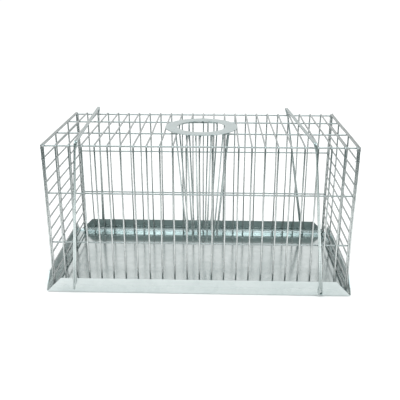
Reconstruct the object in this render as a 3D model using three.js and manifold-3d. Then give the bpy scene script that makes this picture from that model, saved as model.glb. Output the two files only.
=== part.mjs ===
import * as THREE from 'three';
import { mergeVertices } from 'three/addons/utils/BufferGeometryUtils.js';
import Module from 'manifold-3d';

// Rat cage trap: a welded wire cage standing in a shallow sheet metal tray. Two wire bails hooked into
// the tray hold the cage down. A flat ring in the roof is the entrance, and a funnel of springy wires
// hangs under it. Millimetres, +Z up, X along the trap, front towards -Y. The origin lies on the ground
// under the middle of the tray.

// Driving dimensions of the mesh
const hoopGapCount = 24;
const hoopPitch = 16.7;
const endHoopPitch = 15.5;
const cageDepth = 198;
const cageRise = 198;
const frontLowWireRise = 62.4;
const frontHighWireRise = 132.4;
const backLowWireRise = 66;
const backHighWireRise = 135.5;
const frontRoofWireReach = 27;
const meshWire = 2.2;
const weldSink = 0.3;
const meshBendRadius = 4;
const footDrop = 6;

// Driving dimensions of the tray
const sheet = 0.8;
const foldRadius = 1.2;
const wallHeight = 21.5;
const trayEndRoom = 2.5;
const traySideRoom = 7.2;
const cageShiftX = 1.7;
const cageShiftY = 2.9;
const floorOverlap = 6;

// Driving dimensions of the entrance and its funnel
const ringInnerDiameter = 68;
const ringBand = 17;
const ringSheet = 1.2;
const funnelWire = 2.2;
const funnelCrownOverlap = 5.5;
const funnelExitDiameter = 48;
const funnelExitHeight = 39;
const funnelShoulderDrop = 9;
const funnelBendRadius = 3;

// Driving dimensions of the bails
const bailWire = 2.5;
const bailBendRadius = 4;
const bailFootBend = 2;
const bailFootHeight = 6;
const bailRise = 6.8;
const bailHookLength = 2.4;
const bailPairSink = 0.25;
const bailReturnRise = 5;

// Driving dimensions of the clips that bind the end panels to the end hoops
const clipWire = 1;
const clipOpeningAngle = 50;
const lowerClipRung = 1;

// Clearances
const seam = 0.3;
const holeRoom = 0.4;
const bailWallRoom = 0.4;
const roofHoleRoom = 0.9;
const backRoofWireRoom = 0.3;
const cutOverrun = 2;

// Fineness of the round forms
const wireSides = 6;
const clipSides = 5;
const clipStations = 9;
const bendStep = 30;
const ringSides = 36;
const foldSteps = 3;
const holeSides = 12;

// Places worked out from the driving dimensions
const cageHalfLength = (hoopGapCount / 2 - 1) * hoopPitch + endHoopPitch;
const cageHalfDepth = cageDepth / 2;
const footZ = sheet + seam;
const bottomWireZ = footZ + footDrop;
const roofZ = bottomWireZ + cageRise;
const weldOffset = meshWire - weldSink;
const roofEdgeWireReach = cageHalfDepth - meshBendRadius;
const roofSeamZ = roofZ - meshBendRadius - meshWire;
const longWireHalfLength = cageHalfLength + meshWire / 2;
const rungX = cageHalfLength + meshWire + seam;
const endPostX = rungX + weldOffset;
const trayHalfLength = endPostX + meshWire / 2 + trayEndRoom;
const trayHalfDepth = cageHalfDepth + traySideRoom;
const ringBottomZ = roofZ + meshWire / 2 + seam;
const funnelArchZ = ringBottomZ - seam - funnelWire / 2;
const funnelMouthRadius = ringInnerDiameter / 2 + funnelCrownOverlap;
const roofHoleRadius = funnelMouthRadius + funnelWire / 2 + roofHoleRoom;
const backRoofWireReach = roofHoleRadius + backRoofWireRoom;
const bailLegY = trayHalfDepth + sheet + bailWallRoom + bailWire / 2;
const bailTopZ = roofZ + meshWire / 2 + bailRise;

// How many hoops on each side of the middle hoop are cut short by the entrance
const cutHoopReach = Math.floor(roofHoleRadius / hoopPitch);
const lastCutHoopX = cutHoopReach * hoopPitch;
const roofSplitX = (cutHoopReach + 0.5) * hoopPitch;

// How far in from the end of the cage each bail's feet and the two ends of its crossbar are
const bails = {
  left_bail: { side: -1, footInset: 28.2, frontTopInset: 44.2, backTopInset: 32.2 },
  right_bail: { side: 1, footInset: 32.7, frontTopInset: 54.2, backTopInset: 68.2 },
};

// Each funnel wire's middle direction, and the angle from there to each of its legs, in degrees
const funnelWires = {
  funnel_wire_front: { middle: -95.9, spread: 3.4 },
  funnel_wire_front_right: { middle: -54.6, spread: 14.4 },
  funnel_wire_right: { middle: 2, spread: 15 },
  funnel_wire_back_right: { middle: 66.7, spread: 10.8 },
  funnel_wire_back_left: { middle: 132.7, spread: 13.5 },
  funnel_wire_front_left: { middle: -135.5, spread: 16 },
};

const alongX = new THREE.Vector3(1, 0, 0);
const alongY = new THREE.Vector3(0, 1, 0);
const alongZ = new THREE.Vector3(0, 0, 1);

const galvanisedWire = { color: 0xb4bcba, roughness: 0.42, metalness: 0.85 };
const galvanisedSheet = { color: 0xc2c9c9, roughness: 0.35, metalness: 0.85 };
const platedRing = { color: 0xc6cdcc, roughness: 0.4, metalness: 0.8 };
const platedBailWire = { color: 0xa9b2b0, roughness: 0.38, metalness: 0.85 };

const wasm = await Module();
wasm.setup();

// A closed geometry as a solid for joining and cutting
function solidOf(geometry) {
  const bare = geometry.index ? geometry.toNonIndexed() : geometry.clone();
  bare.deleteAttribute('normal');
  bare.deleteAttribute('uv');
  const merged = mergeVertices(bare, 1e-5);
  return new wasm.Manifold(new wasm.Mesh({
    numProp: 3,
    vertProperties: new Float32Array(merged.attributes.position.array),
    triVerts: new Uint32Array(merged.index.array),
  }));
}

// A solid back as a geometry
function geometryOf(solid) {
  const mesh = solid.getMesh();
  const geometry = new THREE.BufferGeometry();
  geometry.setAttribute('position', new THREE.BufferAttribute(new Float32Array(mesh.vertProperties), 3));
  geometry.setIndex(new THREE.BufferAttribute(new Uint32Array(mesh.triVerts), 1));
  geometry.computeVertexNormals();
  return geometry;
}

// All of the given geometries fused to one solid
function fused(geometries) {
  return geometries.map(solidOf).reduce((whole, piece) => whole.add(piece));
}

// A path that passes through fixed stations, one for each step of the sweep
class StationPath extends THREE.Curve {
  constructor(stations) {
    super();
    this.stations = stations;
  }

  indexAt(share) {
    return Math.round(share * (this.stations.length - 1));
  }

  getPoint(share, target = new THREE.Vector3()) {
    return target.copy(this.stations[this.indexAt(share)]);
  }

  getPointAt(share, target = new THREE.Vector3()) {
    return this.getPoint(share, target);
  }

  getTangentAt(share, target = new THREE.Vector3()) {
    const index = this.indexAt(share);
    const last = this.stations.length - 1;
    const here = this.stations[index];
    const ahead = this.stations[Math.min(index + 1, last)].clone().sub(here).normalize();
    const behind = here.clone().sub(this.stations[Math.max(index - 1, 0)]).normalize();
    return target.copy(ahead).add(behind).normalize();
  }
}

// A wire through the stations. One of its edges faces the given way where it starts.
function wire(stations, diameter, edgeTowards, sides = wireSides) {
  const path = new StationPath(stations);
  const steps = stations.length - 1;
  const frames = path.computeFrenetFrames(steps, false);
  const start = Math.atan2(edgeTowards.dot(frames.binormals[0]), edgeTowards.dot(frames.normals[0]));
  const section = new THREE.Shape(Array.from({ length: sides }, (_, side) => {
    const angle = start + side * 2 * Math.PI / sides;
    return new THREE.Vector2(Math.cos(angle), Math.sin(angle)).multiplyScalar(diameter / 2);
  }));
  return new THREE.ExtrudeGeometry(section, { steps, extrudePath: path, bevelEnabled: false });
}

function straightWire(from, to, diameter, edgeTowards) {
  return wire([new THREE.Vector3(...from), new THREE.Vector3(...to)], diameter, edgeTowards);
}

// The stations of a wire bent round each inner corner with the given radius
function bentStations(corners, bendRadius) {
  const stations = [corners[0].clone()];
  for (let index = 1; index < corners.length - 1; index += 1) {
    const corner = corners[index];
    const into = corner.clone().sub(corners[index - 1]).normalize();
    const out = corners[index + 1].clone().sub(corner).normalize();
    const turn = into.angleTo(out);
    const setback = bendRadius * Math.tan(turn / 2);
    const centre = corner.clone().addScaledVector(into, -setback)
      .addScaledVector(out.clone().addScaledVector(into, -out.dot(into)).normalize(), bendRadius);
    const fromCentre = corner.clone().addScaledVector(into, -setback).sub(centre);
    const axis = new THREE.Vector3().crossVectors(into, out).normalize();
    const steps = Math.max(1, Math.ceil(THREE.MathUtils.radToDeg(turn) / bendStep));
    for (let step = 0; step <= steps; step += 1) {
      const arm = fromCentre.clone().applyAxisAngle(axis, turn * step / steps);
      stations.push(centre.clone().add(arm));
    }
  }
  stations.push(corners[corners.length - 1].clone());
  return stations;
}

// The two end hoops stand a little closer to their neighbours than the others do
function hoopX(index) {
  const fromMiddle = index - hoopGapCount / 2;
  const atEnd = Math.abs(fromMiddle) === hoopGapCount / 2;
  return atEnd ? Math.sign(fromMiddle) * cageHalfLength : fromMiddle * hoopPitch;
}

function hoopsBetween(lowest, highest) {
  const indexes = Array.from({ length: hoopGapCount + 1 }, (_, index) => index);
  return indexes.map(hoopX).filter((x) => x > lowest && x < highest);
}

// Front or back wall of the cage: the straight parts of all hoops, and the long wires behind them, the
// lowest just above the feet and the others at the given rises from it
function cageWall(side, rises) {
  const hoopY = side * cageHalfDepth;
  const longY = hoopY - side * weldOffset;
  const inwards = alongY.clone().multiplyScalar(-side);
  const uprights = hoopsBetween(-Infinity, Infinity).map((x) => (
    straightWire([x, hoopY, footZ], [x, hoopY, roofSeamZ], meshWire, inwards)));
  const longWires = [0, ...rises].map((rise) => {
    const z = bottomWireZ + rise;
    return straightWire([-longWireHalfLength, longY, z], [longWireHalfLength, longY, z], meshWire, inwards);
  });
  return fused([...uprights, ...longWires]);
}

// A long wire under the roof's hoops from one X to another
function roofLongWire(fromX, toX, y) {
  const z = roofZ - weldOffset;
  return straightWire([fromX, y, z], [toX, y, z], meshWire, alongZ);
}

// The corners of a hoop's path over the roof, from the seam at the front to a place on the roof
function hoopCorner(x, side) {
  const y = side * cageHalfDepth;
  return [new THREE.Vector3(x, y, roofSeamZ + seam), new THREE.Vector3(x, y, roofZ)];
}

// Left or right part of the roof, with whole hoops bent down at the front and the back
function roofSide(side) {
  const ends = [side * (roofSplitX + seam / 2), side * longWireHalfLength].sort((a, b) => a - b);
  const hoops = hoopsBetween(ends[0], ends[1]).map((x) => {
    const corners = [...hoopCorner(x, -1), ...hoopCorner(x, 1).reverse()];
    return wire(bentStations(corners, meshBendRadius), meshWire, alongY);
  });
  const rowPlaces = [-roofEdgeWireReach, -frontRoofWireReach, backRoofWireReach, roofEdgeWireReach];
  return fused([...hoops, ...rowPlaces.map((y) => roofLongWire(ends[0], ends[1], y))]);
}

// How far the round hole under the ring reaches along one axis, at a distance from the other
function holeReach(distance) {
  return Math.sqrt(roofHoleRadius ** 2 - distance ** 2);
}

// The inner long wire of a roof strip. It runs on behind the hole, and in front the hole leaves the two
// ends that the cut hoops carry.
function stripRow(y, reach) {
  if (Math.abs(y) >= roofHoleRadius) {
    return [roofLongWire(-reach, reach, y)];
  }
  const end = holeReach(y);
  return end < lastCutHoopX ? [roofLongWire(-reach, -end, y), roofLongWire(end, reach, y)] : [];
}

// Front or back strip of the roof beside the entrance, with the hoops that the round hole cuts short
function roofStrip(side, rowReach) {
  const reach = roofSplitX - seam / 2;
  const hoops = hoopsBetween(-reach, reach).map((x) => {
    const corners = [...hoopCorner(x, side), new THREE.Vector3(x, side * holeReach(x), roofZ)];
    return wire(bentStations(corners, meshBendRadius), meshWire, alongY);
  });
  const edgeWire = roofLongWire(-reach, reach, side * roofEdgeWireReach);
  return fused([...hoops, ...stripRow(side * rowReach, reach), edgeWire]);
}

// The heights of the end panels' rungs, from the roof down to the lowest that clears the tray's floor
function rungLevels() {
  const count = Math.floor((roofZ - footZ - meshWire) / hoopPitch) + 1;
  return Array.from({ length: count }, (_, index) => roofZ - index * hoopPitch);
}

// Left or right end panel: four posts with close rungs on their inner side
function endPanel(side) {
  const x = side * endPostX;
  const outwards = alongX.clone().multiplyScalar(side);
  const postPlaces = [-cageHalfDepth, -frontRoofWireReach, backRoofWireReach, cageHalfDepth];
  const posts = postPlaces.map((y) => (
    straightWire([x, y, footZ], [x, y, roofZ + meshWire / 2], meshWire, outwards)));
  const rungReach = cageHalfDepth + meshWire / 2;
  const rungs = rungLevels().map((z) => (
    straightWire([side * rungX, -rungReach, z], [side * rungX, rungReach, z], meshWire, outwards)));
  return fused([...posts, ...rungs]);
}

// A clip of soft wire bent round an end hoop and the post outside it, with its ends on the inside
function edgeClip(sideX, sideY, z) {
  const middleX = sideX * (cageHalfLength + endPostX) / 2;
  const halfSpan = (endPostX - cageHalfLength) / 2;
  const radius = meshWire / 2 + seam + clipWire / 2;
  const opening = THREE.MathUtils.degToRad(clipOpeningAngle);
  const stations = Array.from({ length: clipStations }, (_, index) => {
    const angle = opening / 2 + (2 * Math.PI - opening) * index / (clipStations - 1);
    const x = middleX + Math.sign(Math.sin(angle)) * halfSpan + Math.sin(angle) * radius;
    return new THREE.Vector3(x, sideY * (cageHalfDepth - Math.cos(angle) * radius), z);
  });
  return wire(stations, clipWire, alongZ, clipSides);
}

// The upper clips lie where the hoops start to bend, and the lower ones under a rung
function clipLevels() {
  return {
    upper: roofZ - meshBendRadius,
    lower: rungLevels()[lowerClipRung] - meshWire / 2 - seam - clipWire / 2,
  };
}

// The flat entrance ring
function entranceRing() {
  const shape = new THREE.Shape();
  shape.absarc(0, 0, ringInnerDiameter / 2 + ringBand, 0, 2 * Math.PI);
  const hole = new THREE.Path();
  hole.absarc(0, 0, ringInnerDiameter / 2, 0, 2 * Math.PI);
  shape.holes.push(hole);
  const settings = { depth: ringSheet, bevelEnabled: false, curveSegments: ringSides };
  return new THREE.ExtrudeGeometry(shape, settings).translate(0, 0, ringBottomZ);
}

// One funnel wire: a staple whose crown lies under the ring and whose legs draw together downwards
function funnelStaple({ middle, spread }) {
  const legs = [-spread, spread].map((turn) => {
    const angle = THREE.MathUtils.degToRad(middle + turn);
    const mouthX = Math.cos(angle) * funnelMouthRadius;
    const mouthY = Math.sin(angle) * funnelMouthRadius;
    const exitX = Math.cos(angle) * funnelExitDiameter / 2;
    const exitY = Math.sin(angle) * funnelExitDiameter / 2;
    return [
      new THREE.Vector3(exitX, exitY, funnelExitHeight),
      new THREE.Vector3(mouthX, mouthY, funnelArchZ - funnelShoulderDrop),
      new THREE.Vector3(mouthX, mouthY, funnelArchZ),
    ];
  });
  const crownWidth = legs[0][2].distanceTo(legs[1][2]);
  const radius = Math.min(funnelBendRadius, crownWidth / 2 - seam);
  const stations = bentStations([...legs[0], ...legs[1].reverse()], radius);
  return wire(stations, funnelWire, alongX);
}

// One strip of the tray: the edge of the floor, the fold and the wall, along the local X axis
function trayStrip(halfLength, wallInside) {
  const inside = new THREE.Vector2(wallInside - foldRadius, sheet + foldRadius);
  const outline = new THREE.Shape();
  outline.moveTo(wallInside - foldRadius - floorOverlap, 0);
  for (let step = 0; step <= foldSteps; step += 1) {
    const angle = -Math.PI / 2 + Math.PI / 2 * step / foldSteps;
    const reach = foldRadius + sheet;
    outline.lineTo(inside.x + Math.cos(angle) * reach, inside.y + Math.sin(angle) * reach);
  }
  outline.lineTo(wallInside + sheet, wallHeight);
  outline.lineTo(wallInside, wallHeight);
  for (let step = foldSteps; step >= 0; step -= 1) {
    const angle = -Math.PI / 2 + Math.PI / 2 * step / foldSteps;
    outline.lineTo(inside.x + Math.cos(angle) * foldRadius, inside.y + Math.sin(angle) * foldRadius);
  }
  outline.lineTo(wallInside - foldRadius - floorOverlap, sheet);
  const strip = new THREE.ExtrudeGeometry(outline, { depth: 2 * halfLength, bevelEnabled: false });
  strip.translate(0, 0, -halfLength);
  return solidOf(strip.applyMatrix4(new THREE.Matrix4().makeBasis(alongY, alongZ, alongX)));
}

// A wedge that cuts the end of a wall back at 45 degrees from the corner of the floor
function mitreWedge(halfLength, wallInside) {
  const tall = wallHeight + cutOverrun;
  const outline = new THREE.Shape([
    new THREE.Vector2(halfLength, 0),
    new THREE.Vector2(halfLength + tall, 0),
    new THREE.Vector2(halfLength + tall, tall),
    new THREE.Vector2(halfLength - tall, tall),
  ]);
  const thick = foldRadius + sheet + cutOverrun;
  const wedge = new THREE.ExtrudeGeometry(outline, { depth: 2 * thick, bevelEnabled: false });
  wedge.translate(0, 0, -thick);
  const place = new THREE.Matrix4().makeBasis(alongX, alongZ, alongY.clone().negate());
  return wedge.applyMatrix4(place).translate(0, wallInside, 0);
}

function trayEdge(halfLength, wallInside) {
  const wedge = mitreWedge(halfLength, wallInside);
  const turned = wedge.clone().applyMatrix4(new THREE.Matrix4().makeRotationZ(Math.PI))
    .translate(0, 2 * wallInside, 0);
  return trayStrip(halfLength, wallInside).subtract(solidOf(wedge)).subtract(solidOf(turned));
}

// The X of a place on a bail that is the given distance in from the end of the cage
function bailPlace(side, inset) {
  return cageShiftX + side * (cageHalfLength - inset);
}

// The tray: a floor with four folded walls, cut back at the corners and holed for the bails
function tray() {
  const outerHalfLength = trayHalfLength + sheet;
  const outerHalfDepth = trayHalfDepth + sheet;
  const floorLength = 2 * (trayHalfLength - foldRadius);
  const floorDepth = 2 * (trayHalfDepth - foldRadius);
  const floor = new THREE.BoxGeometry(floorLength, floorDepth, sheet).translate(0, 0, sheet / 2);
  const longEdge = trayEdge(outerHalfLength, trayHalfDepth);
  const shortEdge = trayEdge(outerHalfDepth, trayHalfLength);
  const holes = Object.values(bails).map(({ side, footInset }) => {
    const length = 2 * (outerHalfDepth + cutOverrun);
    const radius = bailWire / 2 + holeRoom;
    const hole = new THREE.CylinderGeometry(radius, radius, length, holeSides);
    return solidOf(hole.translate(bailPlace(side, footInset), 0, bailFootHeight));
  });
  const shell = solidOf(floor)
    .add(longEdge).add(longEdge.rotate([0, 0, 180]))
    .add(shortEdge.rotate([0, 0, 90])).add(shortEdge.rotate([0, 0, -90]));
  return holes.reduce((body, hole) => body.subtract(hole), shell);
}

// A bail: one wire from hook to hook over the cage, and a second one fused beside it on the inner side
function bail({ side, footInset, frontTopInset, backTopInset }) {
  const footX = bailPlace(side, footInset);
  const legs = [[-1, frontTopInset], [1, backTopInset]].map(([face, topInset]) => ({
    hook: new THREE.Vector3(footX, face * (trayHalfDepth - bailHookLength), bailFootHeight),
    foot: new THREE.Vector3(footX, face * bailLegY, bailFootHeight),
    top: new THREE.Vector3(bailPlace(side, topInset), face * bailLegY, bailTopZ),
  }));
  const [front, back] = legs;
  const footStations = (leg) => bentStations([leg.hook, leg.foot, leg.top], bailFootBend).slice(0, -1);
  const topStations = bentStations([front.foot, front.top, back.top, back.foot], bailBendRadius).slice(1, -1);
  const mainWire = [...footStations(front), ...topStations, ...footStations(back).reverse()];
  const pairOffset = new THREE.Vector3(-side * (bailWire - bailPairSink), 0, 0);
  const alongLeg = (leg, height) => leg.foot.clone().lerp(leg.top, height / (bailTopZ - bailFootHeight));
  const returnStart = (leg) => [
    alongLeg(leg, bailFootBend + bailWire),
    alongLeg(leg, bailFootBend + bailWire + bailReturnRise).add(pairOffset),
  ];
  const secondWire = [
    ...returnStart(front),
    ...topStations.map((station) => station.clone().add(pairOffset)),
    ...returnStart(back).reverse(),
  ];
  return fused([wire(mainWire, bailWire, alongX), wire(secondWire, bailWire, alongX)]);
}

function named(name, shape, finish) {
  const geometry = shape.isBufferGeometry ? geometryOf(solidOf(shape)) : geometryOf(shape);
  const mesh = new THREE.Mesh(geometry, new THREE.MeshStandardMaterial(finish));
  mesh.name = name;
  return mesh;
}

const cage = new THREE.Group();
const frontRises = [frontLowWireRise, frontHighWireRise];
const backRises = [backLowWireRise, backHighWireRise];
cage.add(named('front_mesh_wall', cageWall(-1, frontRises), galvanisedWire));
cage.add(named('back_mesh_wall', cageWall(1, backRises), galvanisedWire));
cage.add(named('left_roof_mesh', roofSide(-1), galvanisedWire));
cage.add(named('right_roof_mesh', roofSide(1), galvanisedWire));
cage.add(named('front_roof_mesh', roofStrip(-1, frontRoofWireReach), galvanisedWire));
cage.add(named('back_roof_mesh', roofStrip(1, backRoofWireReach), galvanisedWire));
cage.add(named('left_end_panel', endPanel(-1), galvanisedWire));
cage.add(named('right_end_panel', endPanel(1), galvanisedWire));
cage.add(named('entrance_ring', entranceRing(), platedRing));
for (const [name, place] of Object.entries(funnelWires)) {
  cage.add(named(name, funnelStaple(place), platedBailWire));
}
for (const [endName, sideX] of [['left', -1], ['right', 1]]) {
  for (const [faceName, sideY] of [['front', -1], ['back', 1]]) {
    for (const [levelName, z] of Object.entries(clipLevels())) {
      cage.add(named(`${endName}_${faceName}_${levelName}_clip`, edgeClip(sideX, sideY, z), galvanisedWire));
    }
  }
}

cage.position.set(cageShiftX, cageShiftY, 0);

const trap = new THREE.Group();
trap.add(named('tray', tray(), galvanisedSheet));
trap.add(cage);
for (const [name, place] of Object.entries(bails)) {
  trap.add(named(name, bail(place), platedBailWire));
}

export default trap;
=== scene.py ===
import math

import bmesh
import bpy
from bmesh.types import BMEdge, BMVert
from bpy.props import FloatProperty, FloatVectorProperty, IntProperty, PointerProperty, StringProperty
from bpy.types import Operator, Panel, PropertyGroup
from mathutils import Matrix, Vector, noise


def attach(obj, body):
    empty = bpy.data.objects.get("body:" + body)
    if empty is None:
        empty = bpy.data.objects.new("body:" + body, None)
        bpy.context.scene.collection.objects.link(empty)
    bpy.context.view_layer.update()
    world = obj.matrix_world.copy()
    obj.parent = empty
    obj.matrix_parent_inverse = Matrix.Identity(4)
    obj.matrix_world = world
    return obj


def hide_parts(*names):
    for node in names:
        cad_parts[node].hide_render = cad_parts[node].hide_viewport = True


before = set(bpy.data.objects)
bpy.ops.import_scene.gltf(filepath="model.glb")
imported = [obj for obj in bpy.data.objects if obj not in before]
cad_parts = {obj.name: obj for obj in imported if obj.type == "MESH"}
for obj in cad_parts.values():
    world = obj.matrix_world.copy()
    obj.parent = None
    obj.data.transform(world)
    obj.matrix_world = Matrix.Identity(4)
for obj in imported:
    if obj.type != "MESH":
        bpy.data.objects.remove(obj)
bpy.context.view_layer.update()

bl_info = {
    "name": "Rat cage trap",
    "version": (1, 0, 0),
    "blender": (4, 5, 0),
    "location": "View3D > Sidebar > Rat Trap",
    "description": "Builds a welded wire rat cage trap on a galvanised tray, with its finishes and studio",
    "category": "Add Mesh",
}

MM = 0.001
CAGE_BODY = "cage_body"
TRAY_BODY = "tray_body"
BENT_SHEET_NODES = (
    "front_mesh_wall", "back_mesh_wall", "left_roof_mesh", "right_roof_mesh",
    "front_roof_mesh", "back_roof_mesh",
)


# Sizes and colours that a user would change

def length(name, description, millimetres):
    """A property that holds a length, given in millimetres."""
    return FloatProperty(name=name, description=description, default=millimetres * MM, unit="LENGTH")


def colour(name, description, hex_code):
    """A property that holds a colour as its sRGB hex code."""
    return StringProperty(name=name, description=description, default=hex_code)


class MeshSizes(PropertyGroup):
    """Sizes of the welded wire mesh."""
    wire: length("Wire", "Diameter of the mesh wire", 2.2)
    weld_sink: length("Weld sink", "How far two welded wires sink into each other", 0.3)
    bend_radius: length("Bend radius", "Radius of the bends between the walls and the roof", 4)
    hoop_gaps: IntProperty(name="Hoop gaps", description="Gaps between the hoops", default=24)
    hoop_pitch: length("Hoop pitch", "Distance between two hoops", 16.7)
    end_hoop_pitch: length("End hoop pitch", "Distance between the last two hoops", 15.5)
    depth: length("Depth", "Depth of the cage between the middles of its wires", 198)
    foot_z: length("Foot height", "Height of the hoops' feet above the ground", 1.1)
    back_foot_rise: length("Back foot rise", "How much higher the feet on the tray's round fold end", 1.8)
    bottom_wire_z: length("Bottom wire height", "Height of the lowest long wires", 7.1)
    roof_z: length("Roof height", "Height of the middles of the roof's hoops", 205.1)
    front_low_rise: length("Front low wire", "Rise of the front wall's second long wire", 62.4)
    front_high_rise: length("Front high wire", "Rise of the front wall's third long wire", 132.4)
    back_low_rise: length("Back low wire", "Rise of the back wall's second long wire", 66)
    back_high_rise: length("Back high wire", "Rise of the back wall's third long wire", 135.5)
    front_roof_wire: length("Front roof wire", "Distance of the roof's front long wire from the middle", 27)
    back_roof_wire: length("Back roof wire", "Distance of the roof's back long wire from the middle", 41.8)
    roof_hole: length("Roof hole", "Radius of the round hole in the roof's wires", 41.5)
    shift_x: length("Shift right", "How far the cage stands right of the tray's middle", 1.7)
    shift_y: length("Shift back", "How far the cage stands behind the tray's middle", 2.9)
    post_gap: length("Post gap", "Gap between the end hoops and the end panels' posts", 0.1)
    sway: length("Sway", "How far the wires stray from straight", 0.7)
    sway_span: length("Sway span", "Distance over which the wires stray and come back", 90)


class TraySizes(PropertyGroup):
    """Sizes of the sheet metal tray."""
    sheet: length("Sheet", "Thickness of the sheet", 0.8)
    half_length: length("Half length", "From the middle to the inner face of an end wall", 207.2)
    half_depth: length("Half depth", "From the middle to the inner face of the front wall", 106.2)
    wall_height: length("Wall height", "Height of the walls", 21.5)
    fold_radius: length("Fold radius", "Inner radius of the folds", 1.2)
    back_fold_radius: length("Back fold radius", "Inner radius of the softer fold under the back wall", 8.5)
    edge_sway: length("Edge sway", "How far the walls' top edges lean in, in waves", 0.38)
    edge_sway_span: length("Edge sway span", "Distance from wave to wave along a wall", 75)
    hole_room: length("Hole room", "Clearance of the holes round the bails' wire", 0.4)


class EntranceSizes(PropertyGroup):
    """Sizes of the entrance ring and its funnel of wires."""
    inner_diameter: length("Ring hole", "Inner diameter of the ring", 68)
    band: length("Ring band", "Width of the ring's band", 17)
    sheet: length("Ring thickness", "Thickness of the ring", 1.2)
    bottom_z: length("Ring height", "Height of the ring's underside", 206.5)
    edge_bevel: length("Ring edge", "Softness of the ring's stamped edges", 0.3)
    wire: length("Funnel wire", "Diameter of the funnel's wire", 2.2)
    mouth_radius: length("Mouth radius", "Radius of the funnel's mouth at the wires' middles", 39.5)
    exit_diameter: length("Exit diameter", "Diameter of the funnel's lower end", 48)
    exit_z: length("Exit height", "Height of the funnel's lower end", 39)
    arch_z: length("Arch height", "Height of the funnel wires' crowns", 205.1)
    shoulder: length("Shoulder", "Length of the upright part under each crown", 9)
    bend_radius: length("Bend radius", "Radius of the funnel wires' bends", 3)
    crown_flat: length("Crown flat", "Straight length left on each side of a narrow crown's middle", 0.3)


class BailSizes(PropertyGroup):
    """Sizes of the two bails that hold the cage down."""
    wire: length("Bail wire", "Diameter of the bails' wire", 2.5)
    pair_sink: length("Pair sink", "How far a bail's two wires press together", 0.25)
    leg_y: length("Leg distance", "Distance of the legs from the middle, front and back", 108.5)
    foot_z: length("Foot height", "Height of the holes that the bails turn in", 6)
    top_z: length("Top height", "Height of the crossbars", 212.92)
    bend_radius: length("Bend radius", "Radius of the bends at the crossbar", 4)
    foot_bend: length("Foot bend", "Radius of the bends at the feet", 2)
    hook_y: length("Hook reach", "How near the middle the hooks' ends come", 103.8)
    return_rise: length("Return rise", "Length over which the second wire leaves the first", 5)
    loop_bow: length("Loop bow", "How far the loop at the right front foot stands out sideways", 4)
    loop_z: length("Loop height", "Height of the loop's lowest middle", 2.6)
    loop_bend: length("Loop bend", "Radius of the loop's turn", 1.6)
    twist_drop: length("Twist drop", "How far under the crossbar the wires lie one behind the other", 14)
    left_foot_x: length("Left foot", "Place of the left bail's feet along the trap", -169.3)
    left_front_x: length("Left front top", "Place of the left crossbar's front end", -153.3)
    left_back_x: length("Left back top", "Place of the left crossbar's back end", -165.3)
    right_foot_x: length("Right foot", "Place of the right bail's feet along the trap", 168.2)
    right_front_x: length("Right front top", "Place of the right crossbar's front end", 146.7)
    right_back_x: length("Right back top", "Place of the right crossbar's back end", 132.7)


class ClipSizes(PropertyGroup):
    """Sizes of the wire clips at the cage's corner posts."""
    wire: length("Clip wire", "Diameter of the clips' wire", 0.8)
    room: length("Room", "Clearance of a clip round the two wires that it binds", 0.1)
    opening: FloatProperty(
        name="Opening", description="Gap between a clip's ends", default=math.radians(50), unit="ROTATION")
    rung: IntProperty(name="Rung", description="Rung above the lower clips", default=1)


class FinishColours(PropertyGroup):
    """Colours of the metals, as sRGB hex codes."""
    sheet: colour("Galvanised sheet", "Bright zinc of the tray", "#d3dad9")
    sheet_dull: colour("Dull sheet", "Weathered zinc between the bright crystals", "#c3cccb")
    ring: colour("Ring", "Satin zinc of the entrance ring", "#bcc4c3")
    mesh: colour("Mesh wire", "Zinc plating of the mesh", "#acb1b0")
    mesh_dull: colour("Dull mesh wire", "Plating where it has gone dull", "#8e9493")
    weld: colour("Weld", "Dull squeezed metal of the welds", "#a3a9a8")
    bright_wire: colour("Bright wire", "Drawn zinc-plated wire of the bails and the funnel", "#b1bab9")
    clip: colour("Clip wire", "Soft wire of the clips", "#959b9a")
    soil: colour("Soil", "Grey film in folds and on edges", "#6f7a78")


class StudioSettings(PropertyGroup):
    """Light, floor and camera of the studio."""
    floor: colour("Floor", "Colour of the floor", "#fbfcfc")
    # The dark card, overhead and reflector colours belong to glowing cards that only the metal sees: painted
    # dark reflections and painted highlights.
    card: colour("Dark card", "Colour of the dark cards round the trap, which the metal mirrors", "#4a6967")
    overhead: colour("Overhead card", "Colour of the pale cards above, which round folds mirror", "#e2f4f8")
    reflector: colour("Reflector", "Colour of the reflector on the floor in front", "#ffffff")
    floor_glow: FloatProperty(
        name="Floor glow", description="Share of the floor's white that no shadow takes away",
        default=0.15, subtype="FACTOR", min=0, max=1)
    world_fill: FloatProperty(name="Fill", description="Strength of the light from all round", default=0.95)
    lens: FloatProperty(
        name="Lens", description="Focal length of the camera in millimetres", default=53.78, unit="CAMERA")
    camera_place: FloatVectorProperty(
        name="Camera", description="Place of the camera", default=(0.0264, -0.8265, 0.4040), unit="LENGTH")
    camera_turn: FloatVectorProperty(
        name="Camera turn", description="Turn of the camera", subtype="EULER",
        default=(math.radians(69.654), 0, math.radians(1.848)))


# Helpers for shapes

ROUND_PROFILE = 0.5
SHARP_ANGLE = math.radians(40)


def of_kind(parts, kind):
    """Those of the parts from a bmesh operator that are corners, or those that are edges."""
    return [part for part in parts if isinstance(part, kind)]


def stood_at(place, heading):
    """The matrix that puts a shape at a place with its Z axis along the heading."""
    return Matrix.Translation(place) @ heading.to_track_quat("Z", "Y").to_matrix().to_4x4()


def soften(bm, edges, offset, segments):
    """Rounds off the given edges."""
    bmesh.ops.bevel(
        bm, geom=edges, offset=offset, segments=segments, profile=ROUND_PROFILE, affect="EDGES",
        material=-1)


def mesh_of(name, bm):
    """Turns a bmesh into a mesh."""
    mesh = bpy.data.meshes.new(name)
    bm.to_mesh(mesh)
    bm.free()
    return mesh


def placed(name, data):
    """A new object in the scene with the given data."""
    item = bpy.data.objects.new(name, data)
    bpy.context.scene.collection.objects.link(item)
    return item


# Wire work

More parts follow.
